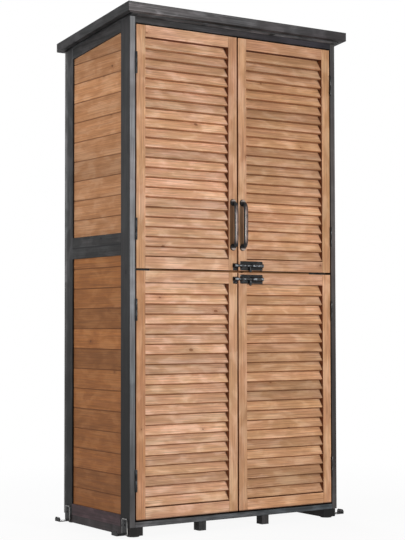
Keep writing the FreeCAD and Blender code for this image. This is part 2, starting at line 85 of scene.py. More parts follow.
# Materials
class Surface:
    """A material and short ways to add nodes to it."""

    def __init__(self, name):
        self.material = bpy.data.materials.new(name)
        self.material.use_nodes = True
        self.tree = self.material.node_tree
        self.shader = self.tree.nodes["Principled BSDF"]
        self.position = self.add("ShaderNodeTexCoord").outputs["Object"]

    def add(self, kind, **settings):
        node = self.tree.nodes.new(kind)
        for key, value in settings.items():
            setattr(node, key, value)
        return node

    def feed(self, socket, value):
        if isinstance(value, bpy.types.NodeSocket):
            self.tree.links.new(value, socket)
        else:
            socket.default_value = value

    def math(self, operation, *values):
        node = self.add("ShaderNodeMath", operation=operation)
        for socket, value in zip(node.inputs, values):
            self.feed(socket, value)
        return node.outputs[0]

    def vector(self, operation, *values):
        node = self.add("ShaderNodeVectorMath", operation=operation)
        for socket, value in zip(node.inputs, values):
            self.feed(socket, value)
        return node.outputs["Value" if operation in ("DOT_PRODUCT", "LENGTH") else "Vector"]

    def join(self, x, y, z=0.0):
        node = self.add("ShaderNodeCombineXYZ")
        for socket, value in zip(node.inputs, (x, y, z)):
            self.feed(socket, value)
        return node.outputs[0]

    def split(self, vector):
        node = self.add("ShaderNodeSeparateXYZ")
        self.feed(node.inputs[0], vector)
        return node.outputs

    def along(self, direction):
        return self.vector("DOT_PRODUCT", self.position, direction)

    def facing(self, direction):
        normal = self.add("ShaderNodeTexCoord").outputs["Normal"]
        return self.vector("DOT_PRODUCT", normal, direction)

    def noise(self, vector, scale=1.0, detail=2.0, roughness=0.5, distortion=0.0):
        node = self.add("ShaderNodeTexNoise")
        self.feed(node.inputs["Vector"], vector)
        node.inputs["Scale"].default_value = scale
        node.inputs["Detail"].default_value = detail
        node.inputs["Roughness"].default_value = roughness
        node.inputs["Distortion"].default_value = distortion
        return node.outputs["Fac"]

    def ramp(self, value, low, high, out_low=0.0, out_high=1.0, smooth=False):
        node = self.add("ShaderNodeMapRange")
        node.interpolation_type = "SMOOTHSTEP" if smooth else "LINEAR"
        for socket, item in zip(node.inputs, (value, low, high, out_low, out_high)):
            self.feed(socket, item)
        return node.outputs[0]

    def mix(self, factor, a, b, blend="MIX"):
        node = self.add("ShaderNodeMix", data_type="RGBA", blend_type=blend)
        self.feed(node.inputs["Factor"], factor)
        for name, value in (("A", a), ("B", b)):
            socket = [s for s in node.inputs if s.name == name and s.type == "RGBA"][0]
            self.feed(socket, value if not isinstance(value, tuple) else value[:3] + (1.0,))
        return [s for s in node.outputs if s.type == "RGBA"][0]

    def tinted(self, colour, tint):
        return self.mix(1.0, colour, tint, "MULTIPLY")

    def bump(self, height, distance, strength):
        node = self.add("ShaderNodeBump")
        node.inputs["Strength"].default_value = strength
        node.inputs["Distance"].default_value = distance
        self.feed(node.inputs["Height"], height)
        return node.outputs[0]

    def set(self, **values):
        for key, value in values.items():
            self.feed(self.shader.inputs[key.replace("_", " ").title()], value)


# A cut of timber: the colours of its grain, and how much each piece differs
DOOR_TIMBER = dict(
    early=(0.632, 0.374, 0.228), late=(0.320, 0.145, 0.064), knot=(0.190, 0.072, 0.030),
    pale=(0.830, 0.575, 0.415), deep=(0.395, 0.202, 0.100), ring=0.0042, contrast=0.55,
    knots=0.12, roughness=0.62, uneven=0.52, fibres=0.36, spread=0.19, cloud=0.72,
    hues=((1.025, 0.99, 1.02), (0.99, 1.00, 0.95)))
RIGHT_DOOR_TIMBER = dict(
    DOOR_TIMBER, early=(0.562, 0.312, 0.176), pale=(0.720, 0.470, 0.318), deep=(0.340, 0.165, 0.076),
    hues=((1.015, 0.99, 0.99), (0.99, 1.00, 0.94)))
PANEL_TIMBER = dict(
    early=(0.455, 0.218, 0.100), late=(0.255, 0.098, 0.036), knot=(0.110, 0.042, 0.018),
    pale=(0.550, 0.310, 0.172), deep=(0.290, 0.118, 0.042), ring=0.0055, contrast=0.40,
    knots=0.18, roughness=0.62, uneven=0.50, fibres=0.24, spread=0.28, cloud=0.75, gloss=0.2)
LOW_PANEL_TIMBER = dict(
    PANEL_TIMBER, early=(0.272, 0.104, 0.034), late=(0.150, 0.048, 0.014),
    pale=(0.345, 0.150, 0.060), deep=(0.168, 0.060, 0.020))
STAINED = dict(
    early=(0.036, 0.0355, 0.0355), late=(0.015, 0.015, 0.016), knot=(0.007, 0.007, 0.008),
    pale=(0.070, 0.070, 0.072), deep=(0.015, 0.015, 0.015), ring=0.0040, contrast=0.60,
    knots=0.18, roughness=0.50, uneven=0.85, fibres=0.45, spread=0.15, gloss=0.15,
    hues=((1.03, 0.985, 1.00), (0.975, 1.005, 1.025)))
FRONT_POST = dict(STAINED, cloud=0.30, uneven=0.55)
RAW_TIMBER = dict(
    early=(0.620, 0.450, 0.270), late=(0.430, 0.260, 0.120), knot=(0.180, 0.080, 0.035),
    pale=(0.700, 0.540, 0.350), deep=(0.500, 0.330, 0.180), ring=0.0045, contrast=0.45,
    knots=0.20, roughness=0.70, uneven=0.35, fibres=0.18, spread=0.12)


def number_pieces(s, pieces, width, seed):
    """A number for each solid of a node, and the place across that solid."""
    base = seed * 3.7
    number = base
    local = s.along(width)
    for index, (direction, start, pitch) in enumerate(pieces):
        place = s.math("DIVIDE", s.math("SUBTRACT", s.along(direction), start), pitch)
        part = s.math("MULTIPLY_ADD", s.math("FLOOR", place), 1.0 + 17.0 * index, base)
        number = s.math("ADD", number, part) if index else part
        if direction == width:
            local = s.math("MULTIPLY", s.math("FRACT", place), pitch)
    return number, local


def knot_shares(s, share, length_way, local, depth_way):
    """How much of each point is the core of a knot, and how much its halo."""
    spacing = 0.21
    row = 0.055
    stretch = 1.5
    place = s.join(s.math("DIVIDE", length_way, spacing), s.math("DIVIDE", local, row))
    voronoi = s.add("ShaderNodeTexVoronoi", voronoi_dimensions="2D", feature="F1")
    s.feed(voronoi.inputs["Vector"], place)
    voronoi.inputs["Scale"].default_value = 1.0
    voronoi.inputs["Randomness"].default_value = 0.9
    offset = s.vector("SUBTRACT", place, voronoi.outputs["Position"])
    offset = s.vector("MULTIPLY", offset, (spacing / stretch, row, 0.0))
    wobble = s.noise(s.join(length_way, local, depth_way), 90.0, 2.0)
    distance = s.math("MULTIPLY_ADD", wobble, 0.004, s.vector("LENGTH", offset))
    lot = s.split(voronoi.outputs["Color"])
    size = s.math("MULTIPLY_ADD", lot[1], 0.0035, 0.0042)
    there = s.math("LESS_THAN", lot[0], share)
    reach = s.math("DIVIDE", distance, size)
    core = s.math("MULTIPLY", there, s.ramp(reach, 1.05, 0.75, smooth=True))
    halo = s.math("MULTIPLY", there, s.ramp(reach, 3.4, 0.9, smooth=True))
    return core, halo


def growth_rings(s, ring, chance, length_way, local, depth_way, halo):
    """Growth rings about a pith that lies outside the piece, swept round its knots."""
    grain_space = s.join(length_way, s.math("MULTIPLY", local, 7.0), depth_way)
    drift = s.noise(grain_space, 2.6, 2.0, 0.55)
    drift = s.math("MULTIPLY", s.math("SUBTRACT", drift, 0.5), 0.034)
    pith_side = s.math("MULTIPLY_ADD", chance[1], 0.09, -0.03)
    pith_depth = s.math("MULTIPLY_ADD", chance[2], 0.035, 0.010)
    side_way = s.math("ADD", s.math("SUBTRACT", local, pith_side), drift)
    deep_way = s.math("ADD", pith_depth, s.math("MULTIPLY", drift, 0.6))
    radius = s.vector("LENGTH", s.join(side_way, deep_way))
    radius = s.math("MULTIPLY_ADD", halo, 0.010, radius)
    phase = s.math("FRACT", s.math("DIVIDE", radius, ring))
    rise = s.math("POWER", phase, 2.2)
    fall = s.ramp(phase, 0.86, 1.0, 1.0, 0.0, smooth=True)
    return s.math("MULTIPLY", rise, fall)


def timber(name, cut, grain, width, through, seed, pieces, faces=(), fades=(), seams=0.0, rubbed=()):
    """Sawn timber with growth rings, fibres, knots and a tone of its own for each piece.

    grain, width and through are the directions of the piece. pieces lists (direction,
    start, pitch), by which the solids of one node are told apart. faces lists (normal,
    tint) for faces of another tone, with a third item where that tone differs lower down;
    most of these tints are painted light and shade. fades lists (direction, low, high,
    tint at low, tint at high), some of them painted light and shade. seams is how dark
    the painted shade along the long edges of the pieces is, whose pitch is the first one
    in pieces. rubbed lists (direction, low, high) for what is worn lighter along its two
    edges.
    """
    s = Surface(name)
    number, local = number_pieces(s, pieces, width, seed)
    white = s.add("ShaderNodeTexWhiteNoise", noise_dimensions="1D")
    s.feed(white.inputs["W"], number)
    chance = s.split(white.outputs["Color"])
    length_way = s.math("MULTIPLY_ADD", chance[0], 9.0, s.along(grain))
    depth_way = s.along(through)
    core, halo = knot_shares(s, cut["knots"], length_way, local, depth_way)
    rings = growth_rings(s, cut["ring"], chance, length_way, local, depth_way, halo)

    # Fibres, long uneven streaks, and lighter and darker patches
    def stretched(lengthways, across, last):
        return s.join(s.math("MULTIPLY", length_way, lengthways), s.math("MULTIPLY", local, across), last)

    fibres = s.noise(stretched(7.0, 420.0, s.math("MULTIPLY", depth_way, 420.0)), 1.0, 3.0, 0.6)
    streaks = s.noise(stretched(2.2, 110.0, s.math("MULTIPLY", number, 1.7)), 1.0, 3.0, 0.6)
    patches = s.noise(stretched(13.0, 28.0, s.math("MULTIPLY", number, 2.3)), 1.0, 3.0, 0.5, 0.4)
    cloud = cut.get("cloud", cut["uneven"]) * 0.6
    streaks = s.ramp(streaks, 0.42, 0.66, 0.0, cut["uneven"], smooth=True)
    shaded = s.ramp(patches, 0.52, 0.34, 0.0, cloud, smooth=True)
    patches = s.ramp(patches, 0.46, 0.66, 0.0, cloud, smooth=True)

    colour = s.mix(s.math("MULTIPLY", rings, cut["contrast"]), cut["early"], cut["late"])
    colour = s.mix(s.math("MAXIMUM", streaks, shaded), colour, cut["deep"])
    colour = s.mix(patches, colour, cut["pale"])
    tone = s.ramp(chance[1], 0.0, 1.0, 1.0 - cut["spread"], 1.0 + cut["spread"])
    fine = s.ramp(fibres, 0.30, 0.70, 1.0 - cut["fibres"], 1.0 + cut["fibres"])
    shade = s.math("MULTIPLY", tone, fine)
    colour = s.tinted(colour, s.join(shade, shade, shade))
    colour = s.mix(s.math("MULTIPLY", halo, 0.40), colour, cut["late"])
    colour = s.mix(s.math("MULTIPLY", core, 0.80), colour, cut["knot"])

    # Tones of single faces, mostly painted light and shade; hues; tones along directions, some of them
    # painted light and shade; wear; and painted shade in the seams
    for way, tint, *lower in faces:
        if lower:
            tint = s.mix(s.ramp(s.along(Z), *TONE_HEIGHTS, smooth=True), lower[0], tint)
        colour = s.mix(s.ramp(s.facing(way), 0.6, 0.95), colour, s.tinted(colour, tint))
    if "hues" in cut:
        hue = s.ramp(s.noise(stretched(7.0, 24.0, number)), 0.35, 0.65, smooth=True)
        colour = s.tinted(colour, s.mix(hue, *cut["hues"]))
    for way, low, high, at_low, at_high in fades:
        level = s.ramp(s.along(way), low, high, smooth=True)
        colour = s.tinted(colour, s.mix(level, at_low, at_high))
    for way, low, high in rubbed:
        place = s.along(way)
        edge = s.math("MINIMUM", s.math("SUBTRACT", place, low), s.math("SUBTRACT", high, place))
        patchy = s.ramp(streaks, 0.0, 0.7, 0.75, 0.15)
        scuff = s.math("MULTIPLY", s.ramp(edge, 3.5 * MM, 1.0 * MM, smooth=True), patchy)
        colour = s.mix(scuff, colour, s.tinted(colour, (2.2, 2.1, 2.1)))
    # Painted shade darkens the long edges of the pieces, where they meet
    if seams:
        edge = s.math("MINIMUM", local, s.math("SUBTRACT", pieces[0][2], local))
        seam_shade = s.ramp(edge, 0.8 * MM, 3.0 * MM, seams, 0.0, smooth=True)
        colour = s.mix(seam_shade, colour, cut["knot"])

    rough = s.ramp(rings, 0.0, 1.0, cut["roughness"] + 0.05, cut["roughness"] - 0.10)
    rough = s.math("MULTIPLY_ADD", fibres, 0.12, rough)
    height = s.math("MULTIPLY_ADD", rings, 0.35, s.math("MULTIPLY", fibres, 0.8))
    height = s.math("MULTIPLY_ADD", core, 0.6, height)
    s.set(base_color=colour, roughness=rough, normal=s.bump(height, 0.35 * MM, 0.6))
    s.shader.inputs["Specular IOR Level"].default_value = cut.get("gloss", 0.3)
    return s.material


def roofing_felt():
    """Black felt with mineral grit, greyer where it is weathered."""
    s = Surface("roofing_felt")
    grit = s.noise(s.position, 900.0, 2.0, 0.7)
    speck = s.add("ShaderNodeTexVoronoi", feature="F1")
    s.feed(speck.inputs["Vector"], s.position)
    speck.inputs["Scale"].default_value = 620.0
    shade = s.split(speck.outputs["Color"])[0]
    wear = s.noise(s.position, 6.0, 3.0, 0.6)
    colour = s.mix(s.math("POWER", shade, 3.0), (0.016, 0.016, 0.017), (0.085, 0.085, 0.090))
    colour = s.mix(s.math("MULTIPLY", wear, 0.35), colour, (0.045, 0.043, 0.040))
    rough = s.ramp(grit, 0.3, 0.7, 0.80, 0.96)
    height = s.math("ADD", s.math("MULTIPLY", speck.outputs["Distance"], -1.0), grit)
    s.set(base_color=colour, roughness=rough, normal=s.bump(height, 0.6 * MM, 0.8))
    return s.material


def black_metal(name, gloss, lit=(), caps=None, crest=None, left_only=False):
    """A black coating on steel. lit lists (normal, colour, low, high) for painted highlights
    on faces that look that way.

    With left_only they are painted on the left half of the cabinet alone. caps is (height,
    depth, colour) for painted highlights on ends that face away from that height, no
    further than that depth from the doors. crest is (depth, colour) for painted highlights,
    in spots, on forward faces that stand out further than that depth.
    """
    s = Surface(name)
    orange_peel = s.noise(s.position, 500.0, 2.0, 0.5)
    wear = s.noise(s.position, 60.0, 3.0, 0.6)
    colour = s.mix(s.ramp(wear, 0.55, 0.8), (0.0035, 0.0035, 0.004), (0.012, 0.012, 0.014))
    patchy = s.ramp(wear, 0.34, 0.60, 0.35, 1.0, smooth=True)
    out = s.math("SUBTRACT", FRONT, s.split(s.position)[1])
    frontal = s.facing(FORWARD)
    # Painted highlights on faces that look the given ways, patchy with the wear
    for way, tone, low, high in lit:
        wear_and_sheen = s.ramp(s.facing(way), low, high, smooth=True)
        if left_only:
            wear_and_sheen = s.math("MULTIPLY", wear_and_sheen, s.math("LESS_THAN", s.along(X), 0.0))
        colour = s.mix(s.math("MULTIPLY", wear_and_sheen, patchy), colour, tone)
    # Painted highlights, in spots, on forward faces that stand out further than the given depth
    if crest is not None:
        depth, tone = crest
        proud = s.math("GREATER_THAN", out, depth)
        wear_and_sheen = s.math("MULTIPLY", s.ramp(frontal, 0.82, 0.98, smooth=True), proud)
        spots = s.noise(s.position, 105.0, 1.0, 0.5)
        spots = s.ramp(spots, 0.46, 0.62, 0.12, 1.0, smooth=True)
        colour = s.mix(s.math("MULTIPLY", wear_and_sheen, spots), colour, tone)
    # Painted highlights on ends that face away from the given height, near the doors
    if caps is not None:
        height, depth, tone = caps
        away = s.math("SIGN", s.math("SUBTRACT", s.along(Z), height))
        outward = s.ramp(s.math("MULTIPLY", s.facing(Z), away), 0.10, 0.45, smooth=True)
        near = s.math("LESS_THAN", out, depth)
        near = s.math("MULTIPLY", near, s.ramp(frontal, 0.40, 0.72, smooth=True))
        colour = s.mix(s.math("MULTIPLY", outward, near), colour, tone)
    rough = s.ramp(wear, 0.3, 0.7, gloss, gloss + 0.14)
    s.set(base_color=colour, roughness=rough, normal=s.bump(orange_peel, 0.12 * MM, 0.6))
    s.shader.inputs["Specular IOR Level"].default_value = 0.30
    return s.material


def bracket_steel():
    """Black steel plate, with painted highlights on the edges of the legs and painted light on the inside
    of the lips.
    """
    s = Surface("bracket_steel")
    wear_and_sheen = s.noise(s.position, 60.0, 4.0, 0.6)
    grit = s.noise(s.position, 500.0, 2.0, 0.6)
    colour = s.mix(s.ramp(wear_and_sheen, 0.58, 0.78, 0.0, 0.8), (0.012, 0.012, 0.013), (0.060, 0.058, 0.056))
    x, y, z = s.split(s.position)
    aside = s.math("ABSOLUTE", x)
    row = s.math("ABSOLUTE", s.math("SUBTRACT", y, BRACKET_MIDDLE))
    across = s.math("ABSOLUTE", s.math("SUBTRACT", row, BRACKET_SPREAD))

    # Painted highlights on the legs' upright and upper edges
    on_leg = s.math("LESS_THAN", aside, POST_FACE + 10.0 * MM)
    beside = s.ramp(across, 12.8 * MM, 15.0 * MM, smooth=True)
    above = s.ramp(z, 51.5 * MM, 53.5 * MM, smooth=True)
    rim_highlight = s.math("MULTIPLY", s.math("MAXIMUM", beside, above), on_leg)
    rim_highlight = s.math("MULTIPLY", rim_highlight, s.ramp(wear_and_sheen, 0.36, 0.52, 0.25, 1.0, smooth=True))
    colour = s.mix(rim_highlight, colour, (0.36, 0.35, 0.34))

    # Painted light on the lips' faces towards the posts, which lie in shade
    inward = s.math("MULTIPLY", s.math("SIGN", x), s.facing(LEFTWARD))
    on_lip = s.math("GREATER_THAN", s.math("MULTIPLY", inward, aside), POST_FACE + 25.0 * MM)
    lip_light = s.ramp(across, 13.5 * MM, 11.0 * MM, smooth=True)
    lip_light = s.math("MULTIPLY", lip_light, s.ramp(z, 10.0 * MM, 11.5 * MM, smooth=True))
    lip_light = s.math("MULTIPLY", lip_light, s.ramp(z, 19.0 * MM, 17.5 * MM, smooth=True))
    colour = s.mix(s.math("MULTIPLY", lip_light, on_lip), colour, (0.72, 0.72, 0.72))

    rough = s.ramp(wear_and_sheen, 0.3, 0.7, 0.35, 0.55)
    s.set(base_color=colour, roughness=rough, normal=s.bump(grit, 0.1 * MM, 0.4))
    s.shader.inputs["Specular IOR Level"].default_value = 0.2
    return s.material


def zinc():
    """Zinc plate with dull stains."""
    s = Surface("screw_zinc")
    stain = s.noise(s.position, 240.0, 3.0, 0.6)
    colour = s.mix(s.ramp(stain, 0.4, 0.7), (0.62, 0.63, 0.64), (0.40, 0.40, 0.39))
    rough = s.ramp(stain, 0.3, 0.7, 0.22, 0.42)
    s.set(base_color=colour, roughness=rough, normal=s.bump(stain, 0.04 * MM, 0.4))
    s.shader.inputs["Metallic"].default_value = 1.0
    return s.material


def rubber():
    """Black rubber with some dust."""
    s = Surface("foot_rubber")
    grain = s.noise(s.position, 1200.0, 2.0, 0.6)
    dust = s.noise(s.position, 70.0, 3.0, 0.6)
    colour = s.mix(s.ramp(dust, 0.45, 0.8), (0.014, 0.014, 0.014), (0.045, 0.043, 0.040))
    rough = s.ramp(dust, 0.3, 0.7, 0.6, 0.85)
    s.set(base_color=colour, roughness=rough, normal=s.bump(grain, 0.2 * MM, 0.5))
    return s.material


PULL_HEIGHT = middle("left_handle")[2]
# Painted highlight on the left hinges' leftward faces
hinge_black = black_metal(
    "hinge_black", 0.24, lit=[(LEFTWARD, (0.035, 0.038, 0.042), 0.72, 0.96)], left_only=True)
# Painted highlights on the latches: leftward faces, and spots on forward faces that stand out more than 6
# mm
latch_black = black_metal(
    "latch_black", 0.16, lit=[(LEFTWARD, (0.13, 0.13, 0.135), 0.80, 0.97)],
    crest=(6.0 * MM, (0.25, 0.27, 0.29)))
# Painted reflection on the front of the pull bars, and painted highlights on the outer ends of their feet
pull_black = black_metal(
    "pull_black", 0.22, lit=[(FORWARD, (0.20, 0.135, 0.115), 0.960, 0.994)],
    caps=(PULL_HEIGHT, 9.4 * MM, (0.34, 0.29, 0.26)))
screw_black = black_metal("screw_black", 0.30)


# CAD nodes: a material for each, and eased edges
EASE = 1.2 * MM
THIN_EASE = 0.6 * MM
BOARD_EASE = 0.5 * MM
LEAF_EASE = 0.3 * MM

# How dark the painted shade in the seams between boards is
BOARD_SEAMS = 0.6


def dress(node, material, ease):
    thing = nodes[node]
    thing.data.materials.clear()
    thing.data.materials.append(material)
    weld = thing.modifiers.new("weld", "WELD")
    weld.merge_threshold = 0.02 * MM
    bevel = thing.modifiers.new("ease", "BEVEL")
    bevel.width = ease
    bevel.segments = 2
    bevel.limit_method = "ANGLE"
    bevel.angle_limit = math.radians(35.0)
    bevel.harden_normals = True


def dress_timber(node, cut, grain, width, through, seed, pieces=(), ease=EASE, **tones):
    """Timber of its own for a node. tones are the later arguments of timber."""
    dress(node, timber(node, cut, grain, width, through, seed, pieces, **tones), ease)


def dress_sides():
    dark_below = (Z,) + TONE_HEIGHTS + ((0.34, 0.33, 0.33), UNCHANGED)
    # Painted sheen: the posts' front faces are tinted lighter than their sides, the left one most. On the
    # left post painted shadow darkens the foot; on the right post painted shade darkens it below 1.1 m
    # and above 1.2 m, and a painted highlight lightens its lowest 0.2 m
    front_posts = {
        "left": dict(
            faces=[(FORWARD, (6.6, 6.7, 6.8), (11.4, 12.0, 12.4))],
            fades=[dark_below, (Z, 0.05, 0.45, (0.52, 0.49, 0.47), UNCHANGED)]),
        "right": dict(
            faces=[(FORWARD, (2.52, 2.18, 2.06))],
            fades=[
                (Z, 0.50, 1.10, (0.36, 0.365, 0.36), UNCHANGED),
                (Z, 1.20, 1.40, UNCHANGED, (0.62, 0.66, 0.68)),
                (Z, 0.06, 0.20, (1.60, 1.75, 1.80), UNCHANGED)])}
    # Painted shadow: the skids' front ends are darkened, the right one most
    skid_front_shadow = {"left": (0.20, 0.18, 0.18), "right": (0.04, 0.04, 0.04)}
    for seed, side, outward in ((1, "left", LEFTWARD), (2, "right", X)):
        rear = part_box(side + "_rear_post")[1].y
        # The rear posts are lighter towards their rear edge
        light_rear_edge = (Y, rear - 26.0 * MM, rear - 6.0 * MM, UNCHANGED, (3.0, 2.95, 2.85))
        dress_timber(side + "_front_post", FRONT_POST, Z, Y, X, seed, **front_posts[side])
        dress_timber(side + "_rear_post", STAINED, Z, Y, X, seed + 2, fades=[dark_below, light_rear_edge])
        # Painted light: the side rails are lighter and redder towards the ground; painted shade darkens
        # their seams
        dress_timber(
            side + "_side_rails", STAINED, Y, Z, X, seed + 4, [(Z, 0.0, SIDE_SEAM)],
            faces=[(outward, (0.68, 0.65, 0.63))],
            fades=[(Z, 0.10, 0.50, (2.60, 1.62, 1.80), UNCHANGED)], seams=0.95)
        dress_timber(
            side + "_skid", STAINED, Y, X, Z, seed + 6,
            faces=[(outward, (0.96, 0.79, 0.79)), (FORWARD, skid_front_shadow[side])])
        dress_timber(
            side + "_upper_side_boards", PANEL_TIMBER, Y, Z, X, seed + 8, [UPPER_BOARDS], BOARD_EASE,
            seams=BOARD_SEAMS)
        dress_timber(
            side + "_lower_side_boards", LOW_PANEL_TIMBER, Y, Z, X, seed + 10, [LOWER_BOARDS], BOARD_EASE,
            fades=[(Z, 0.10, 0.85, (0.90, 0.89, 0.83), (1.15, 1.17, 1.10))], seams=BOARD_SEAMS)


def dress_back():
    dress_timber(
        "back_upper_boards", PANEL_TIMBER, X, Z, Y, 21, [UPPER_BOARDS], BOARD_EASE, seams=BOARD_SEAMS)
    dress_timber(
        "back_lower_boards", LOW_PANEL_TIMBER, X, Z, Y, 22, [LOWER_BOARDS], BOARD_EASE, seams=BOARD_SEAMS)
    dress_timber("back_stiles", STAINED, Z, X, Y, 23, [(X, 0.0, 1.0)])
    dress_timber("back_rails", STAINED, X, Z, Y, 24, [(Z, 0.0, SIDE_SEAM)])


def dress_front():
    low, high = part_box("front_top_rail")
    # Painted shade: the top rail is darker towards its right end
    dress_timber(
        "front_top_rail", STAINED, X, Z, Y, 25,
        fades=[(X, low.x, high.x, (1.0, 0.95, 0.95), (0.42, 0.37, 0.46))])
    # Painted light on the bottom rail's front face, painted shadow on its top face under the doors, and
    # painted shade towards its right end
    dress_timber(
        "front_bottom_rail", STAINED, X, Z, Y, 26,
        faces=[(FORWARD, (1.9, 2.0, 2.05)), (Z, (0.10, 0.07, 0.06))],
        fades=[(X, low.x, high.x, (1.05, 1.02, 1.02), (0.66, 0.74, 0.78))])
    dress_timber("door_stops", STAINED, Z, X, Y, 27, [(X, -300.0 * MM, 600.0 * MM)])
    dress_timber("middle_feet", STAINED, Y, X, Z, 28, [(X, 0.0, 0.5)])


def dress_roof():
    low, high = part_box("front_fascia")
    # Painted light on the fascia's front face, most at its left end, and painted shade towards its right
    # end; its long edges are worn lighter
    dress_timber(
        "front_fascia", STAINED, X, Z, Y, 29,
        faces=[(FORWARD, (2.7, 2.66, 2.66))],
        fades=[
            (X, low.x, high.x, (1.25, 1.25, 1.25), (0.38, 0.36, 0.37)),
            (X, low.x, -80.0 * MM, (1.45, 1.43, 1.43), UNCHANGED)],
        rubbed=[(Z, low.z, high.z)])
    dress_timber("rear_fascia", STAINED, X, Z, Y, 30)
    dress_timber("side_fascias", STAINED, Y, Z, X, 31, [(X, -1.0, 1.0)])
    dress_timber(
        "roof_deck_boards", STAINED, X, Y, Z, 38, [(Y, -212.5 * MM, 85.4 * MM)], THIN_EASE)
    dress_timber("roof_bearers", STAINED, Y, X, Z, 39, [(X, -1.0, 250.0 * MM)], THIN_EASE)
    # Painted light on the soffit's underside
    dress_timber(
        "front_soffit", STAINED, X, Y, Z, 61, [(X, -131.0 * MM, 262.0 * MM)], THIN_EASE,
        faces=[(DOWNWARD, (3.0, 2.8, 2.8))])
    dress("roof_felt", roofing_felt(), THIN_EASE)


def dress_inside():
    dress_timber("floor_boards", RAW_TIMBER, Y, X, Z, 32, [(X, -376.0 * MM, 83.72 * MM)])
    dress_timber("rear_floor_bearer", RAW_TIMBER, X, Y, Z, 33)
    # Painted shade: the shelves' front edges are darker and redder
    for seed, shelf in ((34, "upper_shelf"), (35, "middle_shelf"), (36, "lower_shelf")):
        dress_timber(
            shelf, RAW_TIMBER, X, Y, Z, seed, [(Y, -167.0 * MM, 92.8 * MM)],
            faces=[(FORWARD, (0.40, 0.26, 0.18))])
    dress_timber(
        "shelf_cleats", RAW_TIMBER, Y, Z, X, 37, [(Z, 200.0 * MM, 370.0 * MM), (X, -1.0, 1.0)])


def dress_doors():
    # The heights of the slats' lower front corners: the lowest, and the step to the next
    slat_places = {"upper": (841.9 * MM, 30.1 * MM), "lower": (88.4 * MM, 30.46 * MM)}
    # Painted light and shade on the slats: lighter in the lower part of the upper doors and the upper
    # part of the lower left door, darker at the bottom of the lower right door
    slat_fades = {
        ("upper", "left"): (Z, 1.00, 1.30, (1.06, 1.08, 1.12), UNCHANGED),
        ("upper", "right"): (Z, 0.95, 1.25, (1.05, 1.06, 1.10), UNCHANGED),
        ("lower", "left"): (Z, 0.45, 0.65, UNCHANGED, (1.06, 1.07, 1.10)),
        ("lower", "right"): (Z, 0.35, 0.55, (0.92, 0.92, 0.90), UNCHANGED)}
    # The tones of each door's left and right stile, and of its lower and upper rail
    stile_tones = {
        ("upper", "left"): ((1.13, 1.16, 1.15), (0.87, 0.86, 0.85)),
        ("upper", "right"): ((1.00, 1.00, 1.04), (0.98, 0.97, 0.92)),
        ("lower", "left"): ((0.86, 0.80, 0.71), (0.87, 0.92, 0.92)),
        ("lower", "right"): ((0.79, 0.78, 0.79), (0.96, 0.94, 0.95))}
    rail_tones = {
        ("upper", "left"): ((0.83, 0.84, 0.90), (1.02, 1.06, 1.15)),
        ("upper", "right"): ((0.69, 0.70, 0.73), (0.71, 0.71, 0.76)),
        ("lower", "left"): ((0.96, 0.98, 1.04), (1.04, 1.07, 1.10)),
        ("lower", "right"): ((0.98, 0.98, 0.98), (0.88, 0.89, 0.97))}
    cuts = {"left": DOOR_TIMBER, "right": RIGHT_DOOR_TIMBER}
    stile_fronts = {"left": (0.85, 0.77, 0.70), "right": (0.84, 0.82, 0.78)}
    # Painted shade: recess tints the stiles' side faces, in the slat housings and at the gaps, and split
    # tints the rails' upper and lower faces at the gaps between the doors
    recess = (0.42, 0.25, 0.18)
    split = (0.22, 0.10, 0.06)
    # Painted shadow on the lowest few millimetres of the lower doors, above the bottom rail
    foot_gap_shadow = (Z, 50.2 * MM, 54.0 * MM, (0.12, 0.08, 0.06), UNCHANGED)
    # A lighter, redder tint on the right doors' edge at the centre gap, over the painted shade there
    light_edge = (X, 1.6 * MM, 2.2 * MM, (1.9, 1.3, 1.2), UNCHANGED)
    for level, (lowest, step) in slat_places.items():
        pitch = step * math.sin(SLAT_RAKE)
        first = (FRONT + SLAT_SETBACK) * math.cos(SLAT_RAKE) - lowest * math.sin(SLAT_RAKE)
        slats = (SLAT_THROUGH, first - (pitch - SLAT_THICKNESS) / 2, pitch)
        # The lower doors alone get the painted shadow at their foot
        foot = [foot_gap_shadow] if level == "lower" else []
        for side, sign in (("left", -1.0), ("right", 1.0)):
            door = "%s_%s_door_" % (level, side)
            cut = cuts[side]
            seed = 40 + 4 * (level == "lower") + 2 * (side == "right")
            # Painted shade on the slats' lower edges
            dress_timber(
                door + "louvres", cut, X, SLAT_WIDTH_WAY, SLAT_THROUGH, seed, [slats], THIN_EASE,
                faces=[(SLAT_LOWER_EDGE, (0.46, 0.34, 0.25))], fades=[slat_fades[level, side]])
            centre = sign * DOOR_MIDDLE
            tones = [(X, centre - 0.1, centre + 0.1) + stile_tones[level, side]]
            if side == "right":
                tones.append(light_edge)
            dress_timber(
                door + "stiles", cut, Z, X, Y, seed + 11, [(X, centre - 1.0, 1.0)],
                faces=[(X, recess), (LEFTWARD, recess), (FORWARD, stile_fronts[side])],
                fades=tones + foot)
            height = middle(door + "rails")[2]
            tone = (Z, height - 10.0 * MM, height + 10.0 * MM) + rail_tones[level, side]
            dress_timber(
                door + "rails", cut, X, Z, Y, seed + 22, [(Z, 0.2, 0.3)],
                faces=[(Z, split), (DOWNWARD, split), (FORWARD, (0.93, 0.88, 0.84))],
                fades=foot + [tone])
            dress(door + "hinge_leaves", hinge_black, LEAF_EASE)
    dress("post_hinge_leaves", hinge_black, LEAF_EASE)


dress_sides()
dress_back()
dress_front()
dress_roof()
dress_inside()
dress_doors()
dress("foot_pads", rubber(), 0.8 * MM)
dress("ground_brackets", bracket_steel(), 0.4 * MM)


